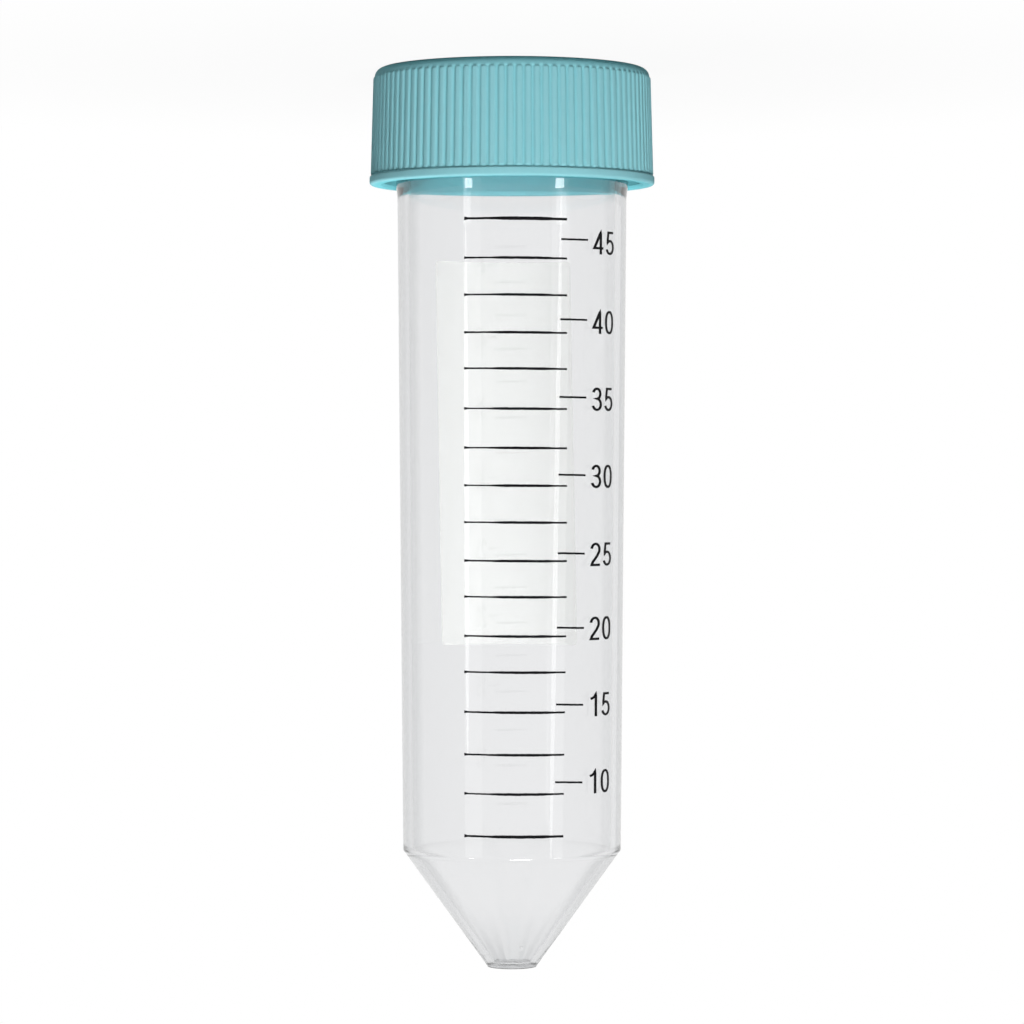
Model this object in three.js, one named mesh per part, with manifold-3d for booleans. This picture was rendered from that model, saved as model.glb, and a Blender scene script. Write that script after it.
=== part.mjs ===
// 50 ml conical tube: a clear moulded tube with a conical end, a ribbed screw cap and the soft
// disc that seals the cap on the tube's mouth.
// Millimetres, +Z along the axis. The tube stands tip up on the flat top of its cap, so the
// origin is the centre of that flat face and the tip is the highest point.
import * as THREE from 'three';
import { mergeVertices } from 'three/addons/utils/BufferGeometryUtils.js';
import Module from 'manifold-3d';

const wasm = await Module();
wasm.setup();

// ---- Driving dimensions ----

const overallLength = 115.0; // flat of the cap to the end of the tip

// Tube
const barrelTop = 14.68; // outer radius just below the neck
const barrelDraft = 0.73; // radius lost from there to the cone's corner
const wall = 1.25;
const neckStep = 0.22; // how far the threaded neck stands out from the barrel
const neckBlend = 1.5; // length over which the neck eases into the barrel
const lipRound = 0.3;
const coneHeight = 15.0;
const coneWall = 1.1; // measured square to the cone
const tipRadius = 3.1;
const tipRound = 0.4;
const floorThickness = 0.9; // material between the tip's end and the inner floor

// Screw thread, right-handed
const threadStarts = 2;
const threadLead = 6.0; // travel in one turn
const threadHeight = 1.2;
const threadBase = 1.5; // width of a ridge at its wall
const threadCrest = 0.7; // width of a ridge at its crest
const threadRoot = 0.3; // how far a ridge's foot reaches into its wall
const threadRunout = 0.12; // turns over which a ridge rises at each end
const crestClearance = 0.35; // each crest to the wall it faces
const flankClearance = 0.3; // between the flanks that bear on each other
const neckThreadStart = 1.5; // from the mouth to the middle of the neck's first ridge
const neckThreadEnd = 2.3; // from the middle of its last ridge to the end of the neck
const capThreadEnd = 2.6; // from the middle of the cap's last ridge to the rim

// Screw cap
const capHeight = 14.9;
const capTopThickness = 1.3;
const capCornerRadius = 1.0;
const skirtWall = 1.15; // at the top band
const topBandHeight = 1.05; // plain band round the flat top
const ribCount = 100;
const ribProud = 0.2; // of the crests over the top band
const ribDraft = 0.35; // growth of the crests' radius down to the rim
const ribDepth = 0.3;
const flangeProud = 0.65; // of the rim's flange over the top band
const flangeHeight = 1.15;
const flangeEdge = 0.3; // bevel on the flange's outer edges
const mouthBevel = 0.35; // lead-in at the open end of the skirt

// Sealing disc
const linerThickness = 0.8;
const linerPlay = 0.4; // radial play in the skirt's bore

// Facets
const sides = 60; // round the axis
const arcSteps = 4; // round an edge
const ribFacets = 4; // round one rib, from groove to groove

// ---- Sizes and places that follow from the dimensions ----

const mouthZ = capTopThickness + linerThickness; // the mouth bears on the disc
const neckEndZ = capHeight; // the neck is as long as the skirt that covers it
const cornerZ = overallLength - coneHeight;
const neckRadius = barrelTop + neckStep;
const neckBore = barrelTop - wall;
const barrelFoot = barrelTop - barrelDraft;
const footBore = barrelFoot - wall;
const skirtBore = neckRadius + threadHeight + crestClearance;
const topBandRadius = skirtBore + skirtWall;
const ribCrestTop = topBandRadius + ribProud;
const flangeRadius = topBandRadius + flangeProud;
const ribLength = capHeight - flangeHeight - topBandHeight;

// ---- Shaping ----

/** Manifold solid of a closed geometry. */
function solid(geometry) {
  const bare = geometry.clone();
  bare.deleteAttribute('normal');
  bare.deleteAttribute('uv');
  const merged = mergeVertices(bare);
  const corners = merged.index.array;
  const faces = [];
  for (let i = 0; i < corners.length; i += 3) {
    const [a, b, c] = corners.slice(i, i + 3);
    if (a !== b && b !== c && c !== a) faces.push(a, b, c);
  }
  return new wasm.Manifold(new wasm.Mesh({
    numProp: 3,
    vertProperties: new Float32Array(merged.attributes.position.array),
    triVerts: new Uint32Array(faces),
  }));
}

/** Named mesh of a solid. */
function part(name, shape, material) {
  const { vertProperties, triVerts } = shape.getMesh();
  const geometry = new THREE.BufferGeometry();
  geometry.setAttribute('position', new THREE.BufferAttribute(vertProperties, 3));
  geometry.setIndex(new THREE.BufferAttribute(triVerts, 1));
  geometry.computeVertexNormals();
  const mesh = new THREE.Mesh(geometry, material);
  mesh.name = name;
  return mesh;
}

/** Solid of revolution about Z from a profile of [radius, height] pairs. */
function turned(profile) {
  const points = profile.map(([radius, height]) => new THREE.Vector2(radius, height));
  return solid(new THREE.LatheGeometry(points, sides).rotateX(Math.PI / 2));
}

/** Points of an arc about [radius, height], from one angle to another in degrees. */
function arc([radius, height], size, from, to) {
  return Array.from({ length: arcSteps + 1 }, (_, i) => {
    const angle = THREE.MathUtils.degToRad(from + ((to - from) * i) / arcSteps);
    return [radius + size * Math.cos(angle), height + size * Math.sin(angle)];
  });
}

/**
 * One start of a screw thread. The ridge stands on a round wall of the given radius: outwards
 * where side is 1, inwards where side is -1. Its middle is at startZ where it begins, at the
 * angle startTurn, and both ends sink into the wall.
 */
function ridge(wallRadius, side, startZ, startTurn, turns) {
  const section = new THREE.Shape([
    new THREE.Vector2(0, -threadBase / 2),
    new THREE.Vector2(threadRoot, -threadBase / 2),
    new THREE.Vector2(threadRoot + threadHeight, -threadCrest / 2),
    new THREE.Vector2(threadRoot + threadHeight, threadCrest / 2),
    new THREE.Vector2(threadRoot, threadBase / 2),
    new THREE.Vector2(0, threadBase / 2),
  ]);
  const steps = Math.round(turns * sides);
  const geometry = new THREE.ExtrudeGeometry(section, { depth: turns, steps, bevelEnabled: false });
  const buried = threadRoot / 2 / (threadRoot + threadHeight); // rise left at the very ends
  const position = geometry.attributes.position;
  for (let i = 0; i < position.count; i += 1) {
    const along = position.getZ(i);
    const toEnd = Math.min(along, turns - along);
    const rise = THREE.MathUtils.clamp(toEnd / threadRunout, buried, 1);
    const radius = wallRadius + side * (position.getX(i) * rise - threadRoot);
    const height = startZ + threadLead * along - side * position.getY(i);
    const angle = 2 * Math.PI * (startTurn + along);
    position.setXYZ(i, radius * Math.cos(angle), radius * Math.sin(angle), height);
  }
  return solid(geometry);
}

/** The wall with every start of its thread. */
function threaded(body, wallRadius, side, startZ, turns) {
  let result = body;
  for (let start = 0; start < threadStarts; start += 1) {
    result = result.add(ridge(wallRadius, side, startZ, start / threadStarts, turns));
  }
  return result;
}

// ---- Screw cap ----

/** Band of upright ribs whose crests widen towards the rim. */
function ribBand() {
  const outline = [];
  for (let i = 0; i < ribCount * ribFacets; i += 1) {
    const fromCrest = Math.abs(2 * ((i / ribFacets) % 1) - 1); // 1 in a groove, 0 on a crest
    const radius = ribCrestTop - ribDepth * fromCrest ** 2;
    const angle = (2 * Math.PI * i) / (ribCount * ribFacets);
    outline.push(new THREE.Vector2(radius * Math.cos(angle), radius * Math.sin(angle)));
  }
  const settings = { depth: ribLength, bevelEnabled: false };
  const geometry = new THREE.ExtrudeGeometry(new THREE.Shape(outline), settings);
  const position = geometry.attributes.position;
  for (let i = 0; i < position.count; i += 1) {
    const growth = 1 + (ribDraft / ribCrestTop) * (position.getZ(i) / ribLength);
    position.setX(i, position.getX(i) * growth);
    position.setY(i, position.getY(i) * growth);
  }
  return solid(geometry.translate(0, 0, topBandHeight));
}

function screwCap() {
  const cornerCentre = [topBandRadius - capCornerRadius, capCornerRadius];
  const flangeZ = capHeight - flangeHeight;
  const shell = turned([
    [0, 0],
    ...arc(cornerCentre, capCornerRadius, -90, 0),
    [topBandRadius, flangeZ],
    [flangeRadius - flangeEdge, flangeZ],
    [flangeRadius, flangeZ + flangeEdge],
    [flangeRadius, capHeight - flangeEdge],
    [flangeRadius - flangeEdge, capHeight],
    [0, capHeight],
  ]);
  const beyond = 1; // the cutter clears the open end
  const bore = turned([
    [0, capTopThickness],
    [skirtBore, capTopThickness],
    [skirtBore, capHeight - mouthBevel],
    [skirtBore + mouthBevel, capHeight],
    [skirtBore + mouthBevel, capHeight + beyond],
    [0, capHeight + beyond],
  ]);
  const hollow = shell.add(ribBand()).subtract(bore);
  const firstRidge = capThreadZ();
  const turns = (capHeight - capThreadEnd - firstRidge) / threadLead;
  return threaded(hollow, skirtBore, -1, firstRidge, turns);
}

/**
 * Middle of the cap's first ridge. Each cap ridge lies beyond a neck ridge, with the flank
 * clearance between the flanks that pull the mouth onto the disc.
 */
function capThreadZ() {
  const overlap = threadHeight - crestClearance; // radial depth in which both ridges lie
  const slope = (threadBase - threadCrest) / 2 / threadHeight;
  const halfWidths = threadCrest + slope * overlap;
  return mouthZ + neckThreadStart + halfWidths + flankClearance;
}

// ---- Sealing disc ----

function liner() {
  const radius = skirtBore - linerPlay;
  return turned([
    [0, capTopThickness],
    [radius, capTopThickness],
    [radius, mouthZ],
    [0, mouthZ],
  ]);
}

// ---- Tube ----

function tube() {
  const slope = (barrelFoot - tipRadius) / coneHeight; // radius lost per height along the cone
  const coneAngle = Math.atan(slope);
  const innerOffset = coneWall / Math.cos(coneAngle);
  const floorZ = overallLength - floorThickness;
  const floorRadius = tipRadius + slope * floorThickness - innerOffset;
  const innerCornerZ = cornerZ + (barrelFoot - innerOffset - footBore) / slope;
  const tipInset = tipRound * Math.tan((Math.PI / 2 - coneAngle) / 2);
  const tipCentre = [tipRadius - tipInset, overallLength - tipRound];
  const body = turned([
    [neckBore, mouthZ + lipRound],
    ...arc([neckBore + lipRound, mouthZ + lipRound], lipRound, 180, 270),
    ...arc([neckRadius - lipRound, mouthZ + lipRound], lipRound, -90, 0),
    [neckRadius, neckEndZ],
    [barrelTop, neckEndZ + neckBlend],
    [barrelFoot, cornerZ],
    ...arc(tipCentre, tipRound, THREE.MathUtils.radToDeg(coneAngle), 90),
    [0, overallLength],
    [0, floorZ],
    [floorRadius, floorZ],
    [footBore, innerCornerZ],
    [neckBore, mouthZ + lipRound],
  ]);
  const firstRidge = mouthZ + neckThreadStart;
  const turns = (neckEndZ - neckThreadEnd - firstRidge) / threadLead;
  return threaded(body, neckRadius, 1, firstRidge, turns);
}

// ---- Assembly ----

const clearPlastic = new THREE.MeshStandardMaterial({
  color: 0xe4e8e9,
  roughness: 0.15,
  metalness: 0,
  transparent: true,
  opacity: 0.4,
});
const tealPlastic = new THREE.MeshStandardMaterial({ color: 0x62adb9, roughness: 0.5, metalness: 0 });
const softFoam = new THREE.MeshStandardMaterial({ color: 0xe9e8e2, roughness: 0.85, metalness: 0 });

const conicalTube = new THREE.Group();
conicalTube.add(part('screw_cap', screwCap(), tealPlastic));
conicalTube.add(part('cap_liner', liner(), softFoam));
conicalTube.add(part('tube', tube(), clearPlastic));

export default conicalTube;
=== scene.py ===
"""Looks of the 50 ml conical tube: a clear tube with a printed scale and a ribbed teal cap.

The tube stands tip up on the flat top of its cap, and its print faces -Y. The camera hangs
upside down, so that the picture shows the cap at the top. Sizes are in millimetres and
become metres when a mesh is made.
"""
import math

import bmesh
import bpy
from mathutils import Matrix, Vector, noise


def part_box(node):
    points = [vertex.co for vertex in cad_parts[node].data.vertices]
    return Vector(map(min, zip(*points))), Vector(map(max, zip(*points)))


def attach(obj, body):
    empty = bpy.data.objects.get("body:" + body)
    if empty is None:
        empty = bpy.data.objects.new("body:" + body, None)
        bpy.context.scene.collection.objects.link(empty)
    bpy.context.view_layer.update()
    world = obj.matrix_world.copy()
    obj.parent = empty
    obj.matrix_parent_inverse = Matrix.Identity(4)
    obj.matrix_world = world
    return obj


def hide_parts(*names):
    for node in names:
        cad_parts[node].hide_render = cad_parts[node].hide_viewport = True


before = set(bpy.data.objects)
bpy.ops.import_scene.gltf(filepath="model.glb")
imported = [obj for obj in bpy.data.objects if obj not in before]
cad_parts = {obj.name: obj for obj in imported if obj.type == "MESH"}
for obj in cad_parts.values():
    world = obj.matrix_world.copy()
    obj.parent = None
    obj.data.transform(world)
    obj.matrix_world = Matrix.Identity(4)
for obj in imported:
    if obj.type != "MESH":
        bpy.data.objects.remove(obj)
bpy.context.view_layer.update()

MM = 0.001

# ---- Sizes read from the frame ----

cap_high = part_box("screw_cap")[1] / MM
liner_low, liner_high = (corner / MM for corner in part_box("cap_liner"))
tube_low, tube_high = (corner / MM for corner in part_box("tube"))

CAP_HEIGHT = cap_high.z
FLANGE_RADIUS = cap_high.x
LINER_RADIUS = liner_high.x
CAP_TOP_THICKNESS = liner_low.z
MOUTH_Z = tube_low.z
OVERALL_LENGTH = tube_high.z

# ---- Sizes of the tube ----

BARREL_TOP = 14.68  # outer radius where the neck ends
BARREL_FOOT = 13.95  # outer radius at the cone's corner
WALL = 1.25
NECK_RADIUS = 14.9
NECK_BLEND = 1.5  # height over which the neck narrows to the barrel
NECK_BLEND_ROUND = 4.0
LIP_ROUND = 0.3
CONE_HEIGHT = 15.0
CONE_WALL = 1.1  # square to the cone
TIP_RADIUS = 3.1
TIP_ROUND = 0.12
FLOOR_THICKNESS = 0.9
OUTER_CORNER_ROUND = 0.4
INNER_CORNER_ROUND = 1.6
INNER_FLOOR_ROUND = 0.5
FLOOR_DOME = 0.3  # rise of the inside floor at its middle
CORNER_Z = OVERALL_LENGTH - CONE_HEIGHT
CONE_SLOPE = (BARREL_FOOT - TIP_RADIUS) / CONE_HEIGHT
CONE_OFFSET = CONE_WALL * math.hypot(1, CONE_SLOPE)  # the cone's wall, measured level
FLOOR_Z = OVERALL_LENGTH - FLOOR_THICKNESS
FLOOR_RADIUS = TIP_RADIUS + CONE_SLOPE * FLOOR_THICKNESS - CONE_OFFSET
INNER_CORNER_Z = CORNER_Z + (WALL - CONE_OFFSET) / CONE_SLOPE

# ---- Sizes of the screw thread ----

THREAD_STARTS = 2
THREAD_LEAD = 6.0
THREAD_HEIGHT = 1.2
THREAD_BASE = 1.5
THREAD_CREST = 0.7
THREAD_RUNOUT = 0.12  # turns
NECK_THREAD_START = MOUTH_Z + 1.5
NECK_THREAD_DEPTH = 4.7  # of the end of the neck's thread inside the cap's mouth
NECK_THREAD_TURNS = (CAP_HEIGHT - NECK_THREAD_DEPTH - NECK_THREAD_START) / THREAD_LEAD
CAP_THREAD_START = 4.883
CAP_THREAD_DEPTH = 3.6
CAP_THREAD_TURNS = (CAP_HEIGHT - CAP_THREAD_DEPTH - CAP_THREAD_START) / THREAD_LEAD

# ---- Sizes of the cap ----

SKIRT_BORE = 16.45
BAND_RADIUS = 17.6
CAP_CORNER_ROUND = 1.1
BAND_HEIGHT = 1.05
FLANGE_HEIGHT = 1.15
FLANGE_Z = CAP_HEIGHT - FLANGE_HEIGHT
FLANGE_TOP_ROUND = 0.25
FLANGE_RIM_ROUND = 0.35
MOUTH_BEVEL = 0.35
MOUTH_ROUND = 0.12
ROOF_ROUND = 0.3
RIB_COUNT = 100
RIB_PROUD = 0.16
RIB_SINK = 0.06  # of the grooves below the plain band
RIB_DRAFT = 0.35
RIB_CREST, RIB_FOOT = 0.42, 0.85  # where a rib's flank starts and ends, 1 in the groove's middle
RIB_ARCH = 0.3  # how far a rib's rounded end falls away at its sides
RIB_RAMP = 0.3  # height over which a rib rises at each end
RIB_PHASE = math.radians(0.7)

# ---- Fineness of the meshes ----

CAP_COLUMNS = 12 * RIB_COUNT
BORE_COLUMNS = 240
TUBE_COLUMNS = 360
THREAD_ROW = 0.14
RIB_END_ROW = 0.08
RIB_END_SPAN = RIB_ARCH + RIB_RAMP + 0.1  # height at each end of the ribs that needs close rows
RIB_ROW = 3.0
FLANGE_ROW = 1.0
ROOF_ROW = 2.0
LONG_ROW = 4.0
PRINT_STEP = 0.08
TICK_STEP = 0.12
PATCH_STEP = 0.4
PATCH_ROWS = 10
ARC_STEPS = 6
SUPPORT = 0.06  # rows this close to an arc keep its shading off the flat beside it
SHARP_ANGLE = 60.0  # an edge bent by more than this many degrees isn't smoothed over


# ---- Camera ----

EYE_DISTANCE = 500.0
EYE_HEIGHT = 50.54
LENS = 137.1
SHIFT_Y = -0.0474


def make_camera():
    data = bpy.data.cameras.new("camera")
    data.lens = LENS
    data.sensor_width = 36.0
    data.shift_y = SHIFT_Y
    data.clip_start = 0.01
    data.clip_end = 50.0
    camera = bpy.data.objects.new("camera", data)
    bpy.context.scene.collection.objects.link(camera)
    right, up, back = Vector((-1, 0, 0)), Vector((0, 0, -1)), Vector((0, -1, 0))
    turn = Matrix((right, up, back)).transposed().to_4x4()
    camera.matrix_world = Matrix.Translation(Vector((0, -EYE_DISTANCE, EYE_HEIGHT)) * MM) @ turn
    bpy.context.scene.camera = camera


make_camera()


# ---- Small helpers ----


def clamp(value, low=0.0, high=1.0):
    return max(low, min(high, value))


def smooth(value, start=0.0, end=1.0):
    """0 before start, 1 after end, and an S-curve between them."""
    share = clamp((value - start) / (end - start))
    return share * share * (3 - 2 * share)


def spaced(start, end, step):
    """Even values from start to end, no more than step apart."""
    count = max(1, math.ceil(abs(end - start) / step - 1e-6))
    return [start + (end - start) * i / count for i in range(count + 1)]


# ---- Profiles: lists of (radius, height) ----


def rounded(corners):
    """Profile through (radius, height, rounding) corners, each rounding made into an arc."""
    points = []
    for i, (radius, height, rounding) in enumerate(corners):
        corner = Vector((radius, height))
        if not rounding:
            points.append(corner)
            continue
        before = (Vector(corners[i - 1][:2]) - corner).normalized()
        after = (Vector(corners[i + 1][:2]) - corner).normalized()
        half = before.angle(after) / 2
        start = corner + before * (rounding / math.tan(half))
        centre = corner + (before + after).normalized() * (rounding / math.sin(half))
        sweep = (start - centre).angle_signed(corner + after * (rounding / math.tan(half)) - centre)
        for step in range(ARC_STEPS + 1):
            points.append(centre + Matrix.Rotation(-sweep * step / ARC_STEPS, 2) @ (start - centre))
    return points


def supported(points, longest):
    """The profile with long stretches divided, and a row close to each of their ends."""
    result = [points[0]]
    for a, b in zip(points, points[1:]):
        length = (b - a).length
        if length > 4 * SUPPORT:
            stops = spaced(SUPPORT, length - SUPPORT, longest)
            result += [a + (b - a) * (stop / length) for stop in stops]
        result.append(b)
    return result


# ---- Meshes ----


def mesh_object(name, vertices, faces, material):
    """A smooth closed mesh with its faces pointing out, from vertices in millimetres."""
    mesh = bpy.data.meshes.new(name)
    mesh.from_pydata([Vector(v) * MM for v in vertices], [], faces)
    built = bmesh.new()
    built.from_mesh(mesh)
    bmesh.ops.recalc_face_normals(built, faces=built.faces)
    built.to_mesh(mesh)
    built.free()
    mesh.polygons.foreach_set("use_smooth", [True] * len(mesh.polygons))
    mesh.set_sharp_from_angle(angle=math.radians(SHARP_ANGLE))
    mesh.materials.append(material)
    piece = bpy.data.objects.new(name, mesh)
    bpy.context.scene.collection.objects.link(piece)
    return piece


def ring(columns, height, radius):
    """Points round the axis; radius is a number or a function of the angle."""
    points = []
    for i in range(columns):
        angle = 2 * math.pi * i / columns
        size = radius(angle) if callable(radius) else radius
        points.append((size * math.cos(angle), size * math.sin(angle), height))
    return points


def skin(rings):
    """Vertices and faces over a list of rings. A ring of one point closes an end."""
    vertices, starts, faces = [], [], []
    for points in rings:
        starts.append(len(vertices))
        vertices += points
    for i in range(len(rings) - 1):
        count_a, count_b = len(rings[i]), len(rings[i + 1])
        most = max(count_a, count_b)
        share_a, share_b = most // count_a, most // count_b
        for j in range(most):
            k = (j + 1) % most
            corners = [
                starts[i] + j // share_a,
                starts[i] + k // share_a,
                starts[i + 1] + k // share_b,
                starts[i + 1] + j // share_b,
            ]
            faces.append(tuple(dict.fromkeys(corners)))
    return vertices, faces


def thread_rise(angle, height, first, turns):
    """How far the thread stands off its wall at a point of the wall."""
    rise = 0.0
    for start in range(THREAD_STARTS):
        offset = angle / (2 * math.pi) - start / THREAD_STARTS
        passes = round((height - first) / THREAD_LEAD - offset)
        along = offset + passes
        aside = abs(height - first - THREAD_LEAD * along)
        flank = smooth((THREAD_BASE / 2 - aside) / (THREAD_BASE / 2 - THREAD_CREST / 2))
        runout = smooth(min(along, turns - along) / THREAD_RUNOUT)
        rise = max(rise, THREAD_HEIGHT * flank * runout)
    return rise


# ---- Tube ----


def tube_mesh():
    inner = supported(rounded([
        (0, FLOOR_Z - FLOOR_DOME, 0),
        (FLOOR_RADIUS, FLOOR_Z, INNER_FLOOR_ROUND),
        (BARREL_FOOT - WALL, INNER_CORNER_Z, INNER_CORNER_ROUND),
        (BARREL_TOP - WALL, MOUTH_Z, LIP_ROUND),
        (NECK_RADIUS, MOUTH_Z, LIP_ROUND),
        (NECK_RADIUS, NECK_THREAD_START - THREAD_BASE / 2, 0),
    ]), LONG_ROW)[:-1]
    neck = [Vector((NECK_RADIUS, z)) for z in spaced(inner[-1].y, CAP_HEIGHT, THREAD_ROW)][1:]
    outer = supported(rounded([
        (NECK_RADIUS, CAP_HEIGHT, 0),
        (BARREL_TOP, CAP_HEIGHT + NECK_BLEND, NECK_BLEND_ROUND),
        (BARREL_FOOT, CORNER_Z, OUTER_CORNER_ROUND),
        (TIP_RADIUS, OVERALL_LENGTH, TIP_ROUND),
        (0, OVERALL_LENGTH, 0),
    ]), LONG_ROW)[1:]
    rings = []
    for radius, height in inner[1:]:
        rings.append(ring(TUBE_COLUMNS, height, radius))
    for radius, height in neck:
        def threaded(angle):
            return radius + thread_rise(angle, height, NECK_THREAD_START, NECK_THREAD_TURNS)
        rings.append(ring(TUBE_COLUMNS, height, threaded))
    for radius, height in outer[:-1]:
        rings.append(ring(TUBE_COLUMNS, height, radius))
    return skin([[(0, 0, FLOOR_Z - FLOOR_DOME)], *rings, [(0, 0, OVERALL_LENGTH)]])


# ---- Cap ----


def rib_radius(angle, height):
    """Radius of the ribbed side: broad ribs with rounded ends, and narrow grooves."""
    pitch = 2 * math.pi / RIB_COUNT
    front = 1.5 * math.pi
    place = (angle - front - RIB_PHASE) / pitch
    aside = 2 * abs(place - round(place))  # 0 on a rib's middle, 1 in a groove
    profile = 1 - smooth(aside, RIB_CREST, RIB_FOOT)
    arch = RIB_ARCH * aside ** 2
    top, foot = BAND_HEIGHT + arch, FLANGE_Z - arch / 2
    ends = smooth(height, top, top + RIB_RAMP) * smooth(-height, -foot, RIB_RAMP - foot)
    base = BAND_RADIUS + RIB_DRAFT * clamp((height - BAND_HEIGHT) / (FLANGE_Z - BAND_HEIGHT))
    sink = RIB_SINK * (1 - profile) * smooth(height, BAND_HEIGHT, BAND_HEIGHT + RIB_RAMP)
    return base + RIB_PROUD * profile * ends - sink * smooth(-height, -FLANGE_Z, -FLANGE_Z + RIB_RAMP)


def cap_mesh():
    flat_edge = BAND_RADIUS - CAP_CORNER_ROUND
    corner = rounded([
        (flat_edge - 1, 0, 0),
        (BAND_RADIUS, 0, CAP_CORNER_ROUND),
        (BAND_RADIUS, BAND_HEIGHT + 1, 0),
    ])[1:-1]
    rows = spaced(CAP_CORNER_ROUND, BAND_HEIGHT + RIB_END_SPAN, RIB_END_ROW)[1:]
    rows += spaced(rows[-1], FLANGE_Z - RIB_END_SPAN, RIB_ROW)[1:]
    rows += spaced(rows[-1], FLANGE_Z, RIB_END_ROW)[1:]
    flange = supported(rounded([
        (BAND_RADIUS + RIB_DRAFT, FLANGE_Z, 0),
        (FLANGE_RADIUS, FLANGE_Z, FLANGE_TOP_ROUND),
        (FLANGE_RADIUS, CAP_HEIGHT, FLANGE_RIM_ROUND),
        (SKIRT_BORE + MOUTH_BEVEL, CAP_HEIGHT, MOUTH_ROUND),
        (SKIRT_BORE, CAP_HEIGHT - MOUTH_BEVEL, MOUTH_ROUND),
        (SKIRT_BORE, CAP_HEIGHT - 1, 0),
    ]), FLANGE_ROW)[1:-1]
    bore = spaced(CAP_HEIGHT - 1, CAP_THREAD_START - THREAD_BASE, THREAD_ROW)
    roof = supported(rounded([
        (SKIRT_BORE, bore[-1], 0),
        (SKIRT_BORE, CAP_TOP_THICKNESS, ROOF_ROUND),
        (SKIRT_BORE - 2, CAP_TOP_THICKNESS, 0),
    ]), ROOF_ROW)[1:]

    rings = [[(0, 0, 0)], ring(BORE_COLUMNS, 0, flat_edge / 2), ring(BORE_COLUMNS, 0, flat_edge - SUPPORT)]
    rings += [ring(CAP_COLUMNS, height, radius) for radius, height in corner]
    for height in rows:
        def ribbed(angle):
            return rib_radius(angle, height)
        rings.append(ring(CAP_COLUMNS, height, ribbed))
    for radius, height in flange:
        columns = CAP_COLUMNS if radius > BAND_RADIUS else BORE_COLUMNS
        rings.append(ring(columns, height, radius))
    for height in bore:
        def threaded(angle):
            return SKIRT_BORE - thread_rise(angle, height, CAP_THREAD_START, CAP_THREAD_TURNS)
        rings.append(ring(BORE_COLUMNS, height, threaded))
    rings += [ring(BORE_COLUMNS, height, radius) for radius, height in roof]
    return skin([*rings, [(0, 0, CAP_TOP_THICKNESS)]])


# ---- Sealing disc ----

LINER_GAP = 0.01  # keeps its faces off the faces that it touches
LINER_ROUND = 0.12


def liner_mesh():
    low, high = liner_low.z + LINER_GAP, liner_high.z - LINER_GAP
    edge = supported(rounded([
        (0, low, 0),
        (LINER_RADIUS, low, LINER_ROUND),
        (LINER_RADIUS, high, LINER_ROUND),
        (0, high, 0),
    ]), LONG_ROW)[1:-1]
    rings = [ring(BORE_COLUMNS, height, radius) for radius, height in edge]
    return skin([[(0, 0, low)], *rings, [(0, 0, high)]])


# ---- Print: laid out flat, as (distance round the wall from the front, height) ----

INK_LIFT = 0.015  # of the ink's back off the wall
INK_THICKNESS = 0.02


def on_wall(along, height, lift, middle=0.0):
    """Point off the outer wall, at a distance round it from the angle middle, in radians."""
    radius = BARREL_TOP - (BARREL_TOP - BARREL_FOOT) * (height - CAP_HEIGHT) / (CORNER_Z - CAP_HEIGHT)
    angle = middle + along / radius
    size = radius + lift
    return (-size * math.sin(angle), -size * math.cos(angle), height)


def strip(stops, low, high, middle=0.0, rows=1, lean=0.0):
    """Vertices and faces of a thin shell from low to high, two functions of the distance.

    lean is how far the strip leans sideways for each height above its foot.
    """
    vertices, faces = [], []
    count = rows + 1
    for along in stops:
        foot, head = low(along), high(along)
        heights = [foot + (head - foot) * i / rows for i in range(count)]
        for lift, order in ((INK_LIFT, heights), (INK_LIFT + INK_THICKNESS, heights[::-1])):
            vertices += [on_wall(along + lean * (z - low(0)), z, lift, middle) for z in order]
    around = 2 * count
    for i in range(len(stops) - 1):
        for j in range(around):
            k = (j + 1) % around
            a, b = i * around, (i + 1) * around
            faces.append((a + j, a + k, b + k, b + j))
    last = len(vertices) - around
    for j in range(rows):
        across = around - 1 - j
        faces.append((j, j + 1, across - 1, across))
        faces.append((last + j, last + j + 1, last + across - 1, last + across))
    return vertices, faces


def joined(parts):
    """Several sets of vertices and faces as one."""
    vertices, faces = [], []
    for more_vertices, more_faces in parts:
        start = len(vertices)
        vertices += more_vertices
        faces += [tuple(start + i for i in face) for face in more_faces]
    return vertices, faces


LINE_HEIGHTS = (
    20.0, 24.9, 29.5, 34.2, 38.7, 43.7, 48.6, 53.3, 57.9,
    62.7, 67.2, 72.1, 76.6, 81.6, 86.9, 91.8, 97.1,
)
LINE_LEFT = -6.15
LINE_RIGHT = 7.15
LINE_SHORTER = 0.5  # by how much the right ends draw in near the cone
SHORTER_FROM, SHORTER_TO = 60, 100  # heights between which they do
LINE_TILT = 0.0065  # rise of a line's right end, per length
FIRST_LINE, LAST_LINE, OTHER_LINES = 0.43, 0.40, 0.33  # full thickness
WEAR, WEAR_SPREAD = 0.35, 0.2  # share of the thickness that is worn off, and how it varies
END_WEAR = 0.7  # of that wear on the right end
LEFT_WEAR_IN, LEFT_WEAR_OUT = (0.01, 0.04), (0.22, 0.40)  # shares of a line's length
RIGHT_WEAR_IN = (0.78, 0.88)
PITS = 0.03
PITS_PER_MM = 6.0
LINE_EDGE, TICK_EDGE = 0.025, 0.02  # how uneven the printed edges are
EDGE_WAVES_PER_MM = 2.2
OTHER_EDGE = 40  # added to a line's number to seed its second edge
TICK_HEIGHTS = {45: 22.6, 40: 32.6, 35: 42.3, 30: 52.0, 25: 61.8, 20: 71.1, 15: 80.7, 10: 90.4}
TICK_START = 6.35
TICK_LENGTH = 4.0
TICK_THICKNESS = 0.25
TICK_RISE = 0.06  # how much nearer the cap the ticks' middles are
TICK_TILT = 0.0008  # slope gained per height
LEVEL_TICK = 30  # height at which a tick is level
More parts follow.
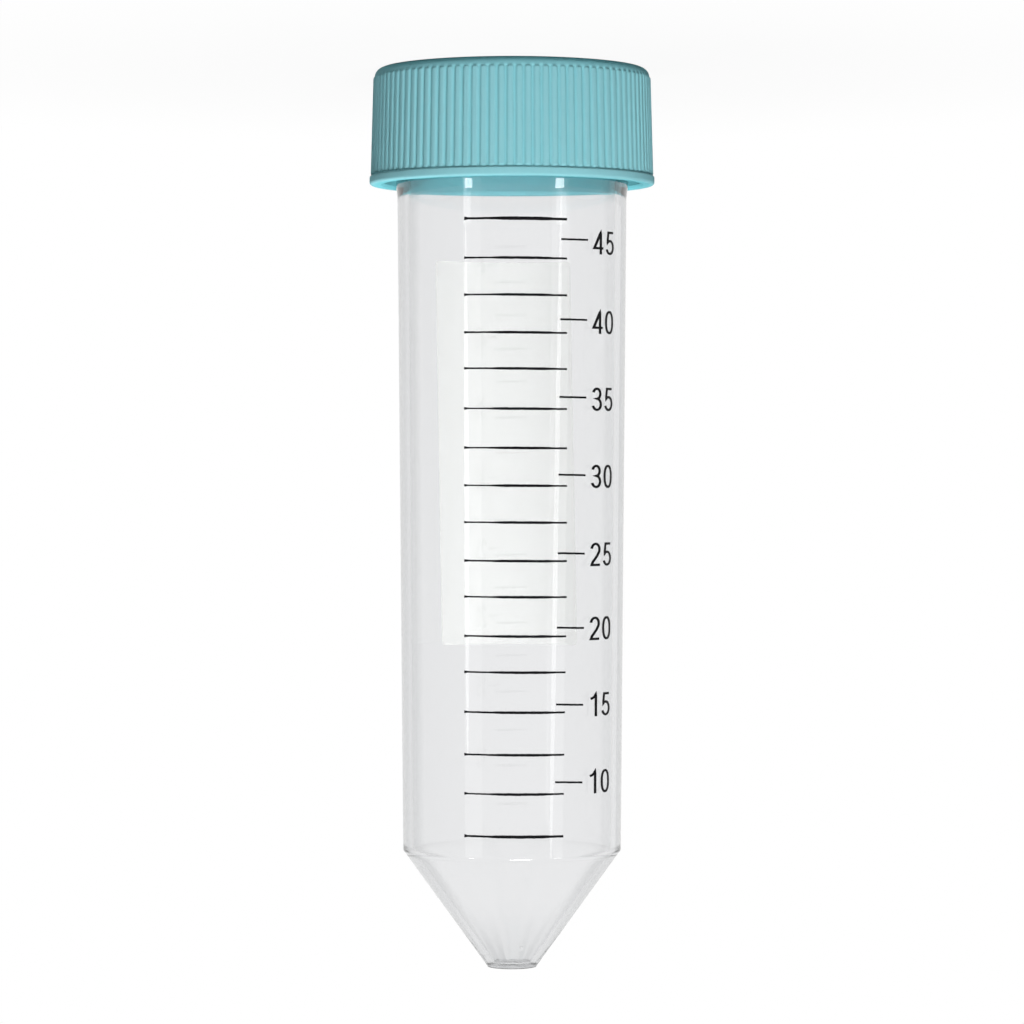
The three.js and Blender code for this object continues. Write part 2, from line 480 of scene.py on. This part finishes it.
SCALE_DRIFT = -0.0122  # sideways move of ticks and numbers, per height


def pressed(along, seed, size):
    """Uneven edge of ink, a small distance either way."""
    return size * noise.noise(Vector((along * EDGE_WAVES_PER_MM, seed * 7.31, 0.5)))


def graduation_lines():
    parts = []
    for index, height in enumerate(LINE_HEIGHTS):
        ends = {0: FIRST_LINE, len(LINE_HEIGHTS) - 1: LAST_LINE}
        thickness = ends.get(index, OTHER_LINES)
        right = LINE_RIGHT - LINE_SHORTER * smooth(height, SHORTER_FROM, SHORTER_TO)
        worn = WEAR + WEAR_SPREAD * noise.noise(Vector((index * 3.7, 0.2, 0.9)))

        def half(along):
            share = (along - LINE_LEFT) / (right - LINE_LEFT)
            thin_start = smooth(share, *LEFT_WEAR_IN) * (1 - smooth(share, *LEFT_WEAR_OUT))
            thin_end = END_WEAR * smooth(share, *RIGHT_WEAR_IN)
            wear = worn * (thin_start + thin_end)
            pits = PITS * wear * noise.noise(Vector((along * PITS_PER_MM, index * 5.3, 0.1)))
            return thickness / 2 * (1 - wear) + pits

        def low(along):
            return height + LINE_TILT * along - half(along) + pressed(along, index, LINE_EDGE)

        def high(along):
            edge = pressed(along, index + OTHER_EDGE, LINE_EDGE)
            return height + LINE_TILT * along + half(along) + edge

        parts.append(strip(spaced(LINE_LEFT, right, PRINT_STEP), low, high))
    return joined(parts)


def graduation_ticks():
    parts = []
    for number, height in TICK_HEIGHTS.items():
        start = TICK_START + SCALE_DRIFT * (height - TICK_HEIGHTS[45])
        middle = height - TICK_RISE
        tilt = TICK_TILT * (height - LEVEL_TICK)

        def low(along):
            edge = pressed(along, number, TICK_EDGE)
            return middle + tilt * (along - start) - TICK_THICKNESS / 2 + edge

        def high(along):
            edge = pressed(along, -number, TICK_EDGE)
            return middle + tilt * (along - start) + TICK_THICKNESS / 2 + edge

        parts.append(strip(spaced(start, start + TICK_LENGTH, TICK_STEP), low, high))
    return joined(parts)


# ---- Numbers: strokes in a cell of height 1, x to the right and y up ----

DIGIT_HEIGHT = 2.95
DIGIT_WIDEN = 1.55  # the figures are drawn narrow, and printed this much wider
DIGIT_STROKE = 0.105
DIGIT_STEP = 2.42  # from one figure to the next
DIGIT_START = 11.3
DIGIT_DROP = 0.17  # of a number's middle past its tick
ARC_POINTS = 18
MITRE_LIMIT = 0.45  # keeps the outside of a stroke's sharp bends short


def bow(x, y, half_width, half_height, start, end, power=1.0):
    """Points along an oval arc, from one angle to another in degrees."""
    points = []
    for i in range(ARC_POINTS + 1):
        angle = math.radians(start + (end - start) * i / ARC_POINTS)
        c, s = math.cos(angle), math.sin(angle)
        points.append((
            x + half_width * math.copysign(abs(c) ** power, c),
            y + half_height * math.copysign(abs(s) ** power, s),
        ))
    return points


FIGURES = {
    "0": [bow(0.215, 0.5, 0.165, 0.45, 0, 360, 0.85)],
    "1": [[(0.07, 0.75), (0.16, 0.79), (0.24, 0.86), (0.285, 0.97), (0.285, 0.0)]],
    "2": [
        bow(0.215, 0.71, 0.16, 0.24, 172, -25)
        + [(0.28, 0.44), (0.10, 0.18), (0.06, 0.05), (0.40, 0.05)],
    ],
    "3": [
        bow(0.205, 0.735, 0.145, 0.215, 165, -80)
        + [(0.15, 0.525)]
        + bow(0.205, 0.285, 0.165, 0.235, 82, -165),
    ],
    "4": [
        [(0.42, 0.26), (0.04, 0.26), (0.305, 0.95), (0.305, 0.29)],
        [(0.305, 0.23), (0.305, 0.0)],
    ],
    "5": [[(0.385, 0.95), (0.13, 0.95), (0.085, 0.51)] + bow(0.21, 0.325, 0.17, 0.275, 135, -160)],
}


def ribbon(path, start, middle_height):
    """Thin closed shell along a stroke, wrapped on the wall."""
    points = [Vector(point) for point in path]
    closed = (points[0] - points[-1]).length < 0.001
    if closed:
        points.pop()
    fine = []
    for here, there in zip(points, points[1:] + points[:1] if closed else points[1:]):
        steps = spaced(0, 1, DIGIT_STROKE / (there - here).length)
        fine += [here.lerp(there, step) for step in steps[:-1]]
    if not closed:
        fine.append(points[-1])
    count = len(fine)
    vertices = []
    for i, here in enumerate(fine):
        before = (here - fine[i - 1]).normalized() if closed or i else None
        after = (fine[(i + 1) % count] - here).normalized() if closed or i < count - 1 else None
        before, after = before or after, after or before
        aside = (before + after).normalized().orthogonal()
        reach = DIGIT_STROKE / 2 / max(MITRE_LIMIT, aside.dot(after.orthogonal()))
        for side, lift in ((1, 0), (-1, 0), (-1, INK_THICKNESS), (1, INK_THICKNESS)):
            x, y = here + aside * reach * side
            along = start + x * DIGIT_HEIGHT * DIGIT_WIDEN
            vertices.append(on_wall(along, middle_height - (y - 0.5) * DIGIT_HEIGHT, INK_LIFT + lift))
    faces = []
    for i in range(count if closed else count - 1):
        a, b = 4 * i, 4 * ((i + 1) % count)
        faces += [(a + j, a + (j + 1) % 4, b + (j + 1) % 4, b + j) for j in range(4)]
    if not closed:
        last = 4 * (count - 1)
        faces += [(3, 2, 1, 0), (last, last + 1, last + 2, last + 3)]
    return vertices, faces


def graduation_numbers():
    parts = []
    for number, height in TICK_HEIGHTS.items():
        start = DIGIT_START + SCALE_DRIFT * (height - TICK_HEIGHTS[45])
        for place, figure in enumerate(str(number)):
            for path in FIGURES[figure]:
                parts.append(ribbon(path, start + place * DIGIT_STEP, height + DIGIT_DROP))
    return joined(parts)


# ---- Writing patch on the back ----

PATCH_LOW, PATCH_HIGH = 24.05, 74.3
PATCH_FROM, PATCH_TO = -8.7, 12.3  # distances from the middle of the back, at its foot
PATCH_LEAN = -0.026
PATCH_ROUND = 0.62


def patch_mesh():
    def inset(along):
        into = min(along - PATCH_FROM, PATCH_TO - along)
        short = clamp(PATCH_ROUND - into, 0, PATCH_ROUND)
        return PATCH_ROUND - math.sqrt(PATCH_ROUND ** 2 - short ** 2)

    corner = [PATCH_ROUND * (1 - math.cos(math.pi / 2 * i / ARC_STEPS)) for i in range(ARC_STEPS + 1)]
    stops = [PATCH_FROM + step for step in corner]
    stops += spaced(stops[-1], PATCH_TO - PATCH_ROUND, PATCH_STEP)[1:-1]
    stops += [PATCH_TO - step for step in reversed(corner)]
    low, high = lambda x: PATCH_LOW + inset(x), lambda x: PATCH_HIGH - inset(x)
    return strip(stops, low, high, math.pi, rows=PATCH_ROWS, lean=PATCH_LEAN)


# ---- Materials ----


class Shading:
    """A new material and short calls for adding its nodes."""

    def __init__(self, name):
        self.material = bpy.data.materials.new(name)
        self.material.use_nodes = True
        self.nodes = self.material.node_tree.nodes
        self.links = self.material.node_tree.links
        self.nodes.clear()
        self.output = self.nodes.new("ShaderNodeOutputMaterial")
        self.surface = self.nodes.new("ShaderNodeBsdfPrincipled")
        self.place = self.nodes.new("ShaderNodeTexCoord").outputs["Object"]
        self.join(self.surface.outputs[0], self.output.inputs["Surface"])

    def join(self, source, target):
        self.links.new(source, target)

    def set(self, **values):
        for name, value in values.items():
            self.surface.inputs[name.replace("_", " ")].default_value = value

    def noise(self, per_mm, detail=3.0, stretch=(1, 1, 1)):
        mapping = self.nodes.new("ShaderNodeMapping")
        mapping.inputs["Scale"].default_value = stretch
        self.join(self.place, mapping.inputs["Vector"])
        texture = self.nodes.new("ShaderNodeTexNoise")
        texture.inputs["Scale"].default_value = per_mm / MM
        texture.inputs["Detail"].default_value = detail
        self.join(mapping.outputs[0], texture.inputs["Vector"])
        return texture.outputs["Fac"]

    def between(self, value, low, high, start=0.3, end=0.7):
        """value, from start to end, turned into a number from low to high."""
        node = self.nodes.new("ShaderNodeMapRange")
        node.inputs["From Min"].default_value = start
        node.inputs["From Max"].default_value = end
        node.inputs["To Min"].default_value = low
        node.inputs["To Max"].default_value = high
        self.join(value, node.inputs["Value"])
        return node.outputs[0]

    def height(self):
        """Distance above the floor, in metres."""
        parts = self.nodes.new("ShaderNodeSeparateXYZ")
        self.join(self.place, parts.inputs[0])
        return parts.outputs["Z"]

    def math(self, operation, first, second):
        node = self.nodes.new("ShaderNodeMath")
        node.operation = operation
        self.join(first, node.inputs[0])
        self.join(second, node.inputs[1])
        return node.outputs[0]

    def level(self):
        """The place, flattened onto the floor."""
        flat = self.nodes.new("ShaderNodeVectorMath")
        flat.operation = "MULTIPLY"
        flat.inputs[1].default_value = (1, 1, 0)
        self.join(self.place, flat.inputs[0])
        return flat.outputs[0]

    def radius(self):
        """Distance from the axis, in metres."""
        length = self.nodes.new("ShaderNodeVectorMath")
        length.operation = "LENGTH"
        self.join(self.level(), length.inputs[0])
        return length.outputs["Value"]

    def larger(self, first, second):
        return self.math("MAXIMUM", first, second)

    def product(self, first, second):
        return self.math("MULTIPLY", first, second)

    def round_axis(self, scale, detail):
        """Noise that changes with the angle round the axis only."""
        unit = self.nodes.new("ShaderNodeVectorMath")
        unit.operation = "NORMALIZE"
        self.join(self.level(), unit.inputs[0])
        texture = self.nodes.new("ShaderNodeTexNoise")
        texture.inputs["Scale"].default_value = scale
        texture.inputs["Detail"].default_value = detail
        self.join(unit.outputs[0], texture.inputs["Vector"])
        return texture.outputs["Fac"]

    def spot(self, centre, radius):
        """1 at a centre in millimetres, falling to 0 at the radius."""
        away = self.nodes.new("ShaderNodeVectorMath")
        away.operation = "DISTANCE"
        away.inputs[1].default_value = Vector(centre) * MM
        self.join(self.place, away.inputs[0])
        return self.between(away.outputs["Value"], 1, 0, start=0, end=radius * MM)

    def blend(self, value, first, second):
        """Colour between first and second."""
        node = self.nodes.new("ShaderNodeMix")
        node.data_type = "RGBA"
        node.inputs["A"].default_value = (*first, 1)
        node.inputs["B"].default_value = (*second, 1)
        self.join(value, node.inputs["Factor"])
        return node.outputs["Result"]

    def bump(self, value, depth_mm, strength=1.0, after=None):
        node = self.nodes.new("ShaderNodeBump")
        node.inputs["Strength"].default_value = strength
        node.inputs["Distance"].default_value = depth_mm * MM
        self.join(value, node.inputs["Height"])
        if after:
            self.join(after, node.inputs["Normal"])
        return node.outputs[0]

    def mix(self, share, first, second):
        node = self.nodes.new("ShaderNodeMixShader")
        node.inputs["Fac"].default_value = share
        self.join(first.outputs[0], node.inputs[1])
        self.join(second.outputs[0], node.inputs[2])
        return node

    def shadow_through(self, colour):
        """Lets lamps shine through with a tint, which glass alone would stop."""
        ray = self.nodes.new("ShaderNodeLightPath").outputs["Is Shadow Ray"]
        clear = self.nodes.new("ShaderNodeBsdfTransparent")
        clear.inputs["Color"].default_value = (*colour, 1)
        mix = self.nodes.new("ShaderNodeMixShader")
        self.join(ray, mix.inputs["Fac"])
        self.join(self.surface.outputs[0], mix.inputs[1])
        self.join(clear.outputs[0], mix.inputs[2])
        self.join(mix.outputs[0], self.output.inputs["Surface"])


STREAK_LENGTH = 7.0  # of the flow marks that fan out from the moulding gate at the tip
STREAKS_SHADE, TIP_SHADE = 0.7, 0.2  # how much the flow marks darken, and how much painted shade darkens the tip round them
END_ROUGHNESS = 0.5  # of the flat end, where the gate was cut off
END_FROM, END_TO = OVERALL_LENGTH - 0.15, OVERALL_LENGTH - 0.1  # heights over which it starts
BUBBLE = (-1.15, -5.07, 112.1)  # a small bubble at the front of the cone's wall
BUBBLE_RADIUS = 0.36
BUBBLE_DEPTH = 0.15
# The darker tint is that of the flow marks and of the painted shade on the outlines and the tip.
CLEAR, CLEAR_MARKS_AND_SHADE = (0.985, 0.987, 0.99), (0.70, 0.71, 0.715)
CLEAR_SHADOW = (0.92, 0.925, 0.93)
HAZE = (0.06, 0.075, 0.10, 1)
HAZE_DENSITY = 76.0  # per metre of plastic
# The deeper teal is painted shade for the grooves, the rib flanks and the inside of the cap.
TEAL_IN_PAINTED_SHADE, TEAL = (0.135, 0.450, 0.500), (0.233, 0.503, 0.551)
FOAM, FOAM_CELLS = (0.80, 0.79, 0.75), (0.72, 0.71, 0.67)
BLACK, BLACK_PITS = (0.004, 0.004, 0.005), (0.02, 0.02, 0.022)
WHITE, WHITE_LIGHT = (0.86, 0.87, 0.85), (0.90, 0.905, 0.89)
WHITE_GLOW = (0.935, 0.935, 0.90, 1)
GLOW_SHARE = 0.6  # of the patch's ink that passes light on instead of throwing it back
BARE_SHARE = 0.56  # of the patch that is see-through


def clear_plastic():
    look = Shading("clear_plastic")
    look.set(IOR=1.49, Transmission_Weight=1.0)
    rim = look.nodes.new("ShaderNodeLayerWeight").outputs["Facing"]
    near_tip = look.between(look.height(), 0, 1, (FLOOR_Z - STREAK_LENGTH) * MM, FLOOR_Z * MM)
    fan = look.round_axis(scale=2.6, detail=4)
    streaks = look.product(near_tip, look.between(fan, 0, 1, start=0.42, end=0.66))
    worn = look.between(look.product(streaks, streaks), 0, STREAKS_SHADE, 0, 1)
    marks_and_tip_shade = look.math("ADD", worn, look.between(near_tip, 0, TIP_SHADE, 0, 1))
    # Painted shade: the tint darkens along the outlines, where the surface turns away from view, and
    # towards the tip. The flow marks darken it too.
    shade = look.larger(look.between(rim, 0, 1, start=0.52, end=0.70), marks_and_tip_shade)
    tint = look.blend(shade, CLEAR, CLEAR_MARKS_AND_SHADE)
    look.join(tint, look.surface.inputs["Base Color"])
    mist = look.between(look.noise(per_mm=0.35, detail=4), 0.015, 0.03)
    ground_end = look.between(look.height(), 0, END_ROUGHNESS, END_FROM * MM, END_TO * MM)
    look.join(look.larger(mist, ground_end), look.surface.inputs["Roughness"])
    swell = look.noise(per_mm=0.12, detail=1, stretch=(1, 1, 0.25))
    waves = look.bump(swell, depth_mm=0.02, strength=0.25)
    flow = look.bump(streaks, depth_mm=0.06, strength=0.4, after=waves)
    bubble = look.bump(look.spot(BUBBLE, BUBBLE_RADIUS), BUBBLE_DEPTH, after=flow)
    look.join(bubble, look.surface.inputs["Normal"])
    look.shadow_through(CLEAR_SHADOW)
    haze = look.nodes.new("ShaderNodeVolumeAbsorption")
    haze.inputs["Color"].default_value = HAZE
    haze.inputs["Density"].default_value = HAZE_DENSITY
    look.join(haze.outputs[0], look.output.inputs["Volume"])
    return look.material


def teal_plastic():
    """Teal with painted shade: deeper in the grooves and inside the cap than on the ribs and the outside.
    """
    look = Shading("teal_plastic")
    slope = RIB_DRAFT / (FLANGE_Z - BAND_HEIGHT)
    draft = look.between(look.height(), 0, slope * OVERALL_LENGTH * MM, 0, OVERALL_LENGTH * MM)
    depth = look.math("SUBTRACT", look.radius(), draft)
    # Painted shade: the colour turns deeper wherever the surface lies below the ribs' tops, and the
    # pigment noise adds random tone.
    outside = look.between(depth, 0, 0.9, (BAND_RADIUS - 0.6) * MM, (BAND_RADIUS + 0.1) * MM)
    pigment = look.between(look.noise(per_mm=0.9, detail=5), 0, 0.1)
    shade = look.math("ADD", outside, pigment)
    colour = look.blend(shade, TEAL_IN_PAINTED_SHADE, TEAL)
    look.join(colour, look.surface.inputs["Base Color"])
    look.set(IOR=1.5, Specular_IOR_Level=0.02)
    look.join(look.between(look.noise(per_mm=1.6, detail=4), 0.60, 0.72), look.surface.inputs["Roughness"])
    grain = look.noise(per_mm=6.0, detail=2)
    look.join(look.bump(grain, depth_mm=0.005, strength=0.3), look.surface.inputs["Normal"])
    return look.material


def soft_foam():
    look = Shading("soft_foam")
    cells = look.nodes.new("ShaderNodeTexVoronoi")
    cells.inputs["Scale"].default_value = 4.0 / MM
    look.join(look.place, cells.inputs["Vector"])
    edge = look.between(cells.outputs["Distance"], 0, 1, start=0.0, end=0.6)
    look.join(look.blend(edge, FOAM, FOAM_CELLS), look.surface.inputs["Base Color"])
    look.join(look.between(look.noise(per_mm=1.5), 0.75, 0.9), look.surface.inputs["Roughness"])
    look.join(look.bump(edge, depth_mm=0.05, strength=0.6), look.surface.inputs["Normal"])
    return look.material


def black_ink():
    look = Shading("black_ink")
    look.set(Specular_IOR_Level=0.05)
    pits = look.noise(per_mm=5.0, detail=4)
    colour = look.blend(look.between(pits, 0, 1, start=0.55, end=0.8), BLACK, BLACK_PITS)
    look.join(colour, look.surface.inputs["Base Color"])
    look.join(look.between(look.noise(per_mm=3.0, detail=3), 0.15, 0.35), look.surface.inputs["Roughness"])
    look.join(look.bump(pits, depth_mm=0.01, strength=0.4), look.surface.inputs["Normal"])
    return look.material


def white_ink():
    look = Shading("white_ink")
    colour = look.blend(look.between(look.noise(per_mm=2.0, detail=5), 0, 1), WHITE, WHITE_LIGHT)
    look.join(colour, look.surface.inputs["Base Color"])
    look.join(look.between(look.noise(per_mm=4.0, detail=3), 0.45, 0.6), look.surface.inputs["Roughness"])
    grain = look.noise(per_mm=5.0, detail=3)
    look.join(look.bump(grain, depth_mm=0.01, strength=0.3), look.surface.inputs["Normal"])
    glow = look.nodes.new("ShaderNodeBsdfTranslucent")
    glow.inputs["Color"].default_value = WHITE_GLOW
    clear = look.nodes.new("ShaderNodeBsdfTransparent")
    body = look.mix(GLOW_SHARE, look.surface, glow)
    look.join(look.mix(BARE_SHARE, body, clear).outputs[0], look.output.inputs["Surface"])
    return look.material


# ---- Pieces ----


def add_piece(name, shape, material, body, stands_for=None):
    piece = mesh_object(name, *shape, material)
    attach(piece, body)
    if stands_for:
        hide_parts(stands_for)


add_piece("ribbed_cap", cap_mesh(), teal_plastic(), "cap", "screw_cap")
add_piece("sealing_disc", liner_mesh(), soft_foam(), "liner", "cap_liner")
add_piece("clear_tube", tube_mesh(), clear_plastic(), "tube", "tube")
ink = black_ink()
add_piece("graduation_lines", graduation_lines(), ink, "tube")
add_piece("graduation_ticks", graduation_ticks(), ink, "tube")
add_piece("graduation_numbers", graduation_numbers(), ink, "tube")
add_piece("writing_patch", patch_mesh(), white_ink(), "tube")


# ---- Studio ----

AMBIENT = 0.05
FLOOR_SIZE = 12.0  # metres
FLOOR_PAINT = (0.3, 0.3, 0.3, 1)
FLOOR_SHADOW = 0.06  # share of the floor's look near the object that comes from its light
FLOOR_FADE = 120.0  # distance at which that share has faded away


def seen_rays(nodes, links):
    """1 for rays that show the background: from the camera, in gloss and through glass."""
    path = nodes.new("ShaderNodeLightPath")
    total = path.outputs["Is Camera Ray"]
    for name in ("Is Glossy Ray", "Is Transmission Ray"):
        either = nodes.new("ShaderNodeMath")
        either.operation = "MAXIMUM"
        links.new(total, either.inputs[0])
        links.new(path.outputs[name], either.inputs[1])
        total = either.outputs[0]
    return total


def make_world():
    world = bpy.data.worlds.new("studio")
    bpy.context.scene.world = world
    world.use_nodes = True
    nodes, links = world.node_tree.nodes, world.node_tree.links
    nodes.clear()
    output = nodes.new("ShaderNodeOutputWorld")
    light, white = nodes.new("ShaderNodeBackground"), nodes.new("ShaderNodeBackground")
    light.inputs["Color"].default_value = (1, 1, 1, 1)
    light.inputs["Strength"].default_value = AMBIENT
    white.inputs["Color"].default_value = (1, 1, 1, 1)
    white.inputs["Strength"].default_value = 1.0
    mix = nodes.new("ShaderNodeMixShader")
    links.new(seen_rays(nodes, links), mix.inputs["Fac"])
    links.new(light.outputs[0], mix.inputs[1])
    links.new(white.outputs[0], mix.inputs[2])
    links.new(mix.outputs[0], output.inputs["Surface"])


def make_floor():
    half = FLOOR_SIZE / 2 / MM
    corners = [(-half, -half, 0), (half, -half, 0), (half, half, 0), (-half, half, 0)]
    material = bpy.data.materials.new("floor")
    material.use_nodes = True
    nodes, links = material.node_tree.nodes, material.node_tree.links
    nodes.clear()
    output = nodes.new("ShaderNodeOutputMaterial")
    paint = nodes.new("ShaderNodeBsdfDiffuse")
    paint.inputs["Color"].default_value = FLOOR_PAINT
    white = nodes.new("ShaderNodeEmission")
    place = nodes.new("ShaderNodeTexCoord")
    distance = nodes.new("ShaderNodeVectorMath")
    distance.operation = "LENGTH"
    links.new(place.outputs["Object"], distance.inputs[0])
    fade = nodes.new("ShaderNodeMapRange")
    fade.interpolation_type = "SMOOTHSTEP"
    fade.inputs["From Min"].default_value = FLANGE_RADIUS * MM
    fade.inputs["From Max"].default_value = FLOOR_FADE * MM
    fade.inputs["To Min"].default_value = 1 - FLOOR_SHADOW
    fade.inputs["To Max"].default_value = 1.0
    links.new(distance.outputs["Value"], fade.inputs["Value"])
    share = nodes.new("ShaderNodeMath")
    share.operation = "MULTIPLY"
    links.new(fade.outputs[0], share.inputs[1])
    links.new(seen_rays(nodes, links), share.inputs[0])
    mix = nodes.new("ShaderNodeMixShader")
    links.new(share.outputs[0], mix.inputs["Fac"])
    links.new(paint.outputs[0], mix.inputs[1])
    links.new(white.outputs[0], mix.inputs[2])
    links.new(mix.outputs[0], output.inputs["Surface"])
    mesh = bpy.data.meshes.new("floor")
    mesh.from_pydata([Vector(c) * MM for c in corners], [], [(0, 1, 2, 3)])
    mesh.materials.append(material)
    floor = bpy.data.objects.new("floor", mesh)
    bpy.context.scene.collection.objects.link(floor)


def make_lamp(name, azimuth, elevation, distance, width, height, radiance,
              aim=50.0, lean=0.0, shape="RECTANGLE", shine=True, light=False):
    """Soft lamp that faces the axis at the height aim. Angles are in degrees.

    azimuth is measured from the camera's side towards the right of its picture, and lean
    tips the lamp's top towards the left of it. shine lets the lamp be mirrored, and light
    lets it light surfaces that aren't mirrors.
    """
    data = bpy.data.lights.new(name, "AREA")
    data.shape = shape
    data.size = width * MM
    data.size_y = height * MM
    fill = 1 if shape == "RECTANGLE" else math.pi / 4
    data.energy = radiance * math.pi * data.size * data.size_y * fill
    lamp = bpy.data.objects.new(name, data)
    bpy.context.scene.collection.objects.link(lamp)
    side, rise = math.radians(azimuth), math.radians(elevation)
    away = Vector((-math.sin(side) * math.cos(rise), -math.cos(side) * math.cos(rise), math.sin(rise)))
    turn = away.to_track_quat("Z", "Y").to_matrix() @ Matrix.Rotation(math.radians(lean), 3, "Z")
    place = (Vector((0, 0, aim)) + away * distance) * MM
    lamp.matrix_world = Matrix.Translation(place) @ turn.to_4x4()
    lamp.visible_camera = False
    lamp.visible_transmission = False
    lamp.visible_glossy = shine
    lamp.visible_diffuse = light


make_world()
make_floor()

# name, azimuth, elevation, distance, width, height, radiance. The strips, cores, feet and neck
# lamps make the two long highlights down the tube, and edge_right brightens its right edge. They
# are only mirrored; the lamps with light=True light the object.
make_lamp("strip_left", -39.3, 0, 200, 65, 122, 1.0, aim=61)
make_lamp("core_left", -45.5, 0, 195, 16, 92, 3.0, aim=58, shape="ELLIPSE")
make_lamp("foot_left", -43.8, 0, 190, 25, 12, 2.6, aim=6.5)
make_lamp("neck_left", -43.8, 14.5, 3000, 395, 480, 13.0, aim=16)
make_lamp("strip_right", 46.0, 0, 200, 66, 122, 0.9, aim=61, lean=-10)
make_lamp("core_right", 44.0, 0, 195, 17, 126, 2.6, aim=66, lean=-15, shape="ELLIPSE")
make_lamp("foot_right", 48.5, 0, 190, 36, 12, 2.0, aim=6.5)
make_lamp("neck_right", 48.5, 14.5, 3000, 475, 480, 12.0, aim=16)
make_lamp("front", 3.4, 0, 215, 283, 122, 0.3, aim=61, light=True)
make_lamp("key", 10, 38, 600, 200, 300, 24.8, light=True)
make_lamp("edge_right", 126, 0, 300, 147, 150, 0.4, aim=58)
make_lamp("back", -138, 58, 600, 280, 280, 11.6, shine=False, light=True)
bpy.context.scene.view_settings.view_transform = "Standard"
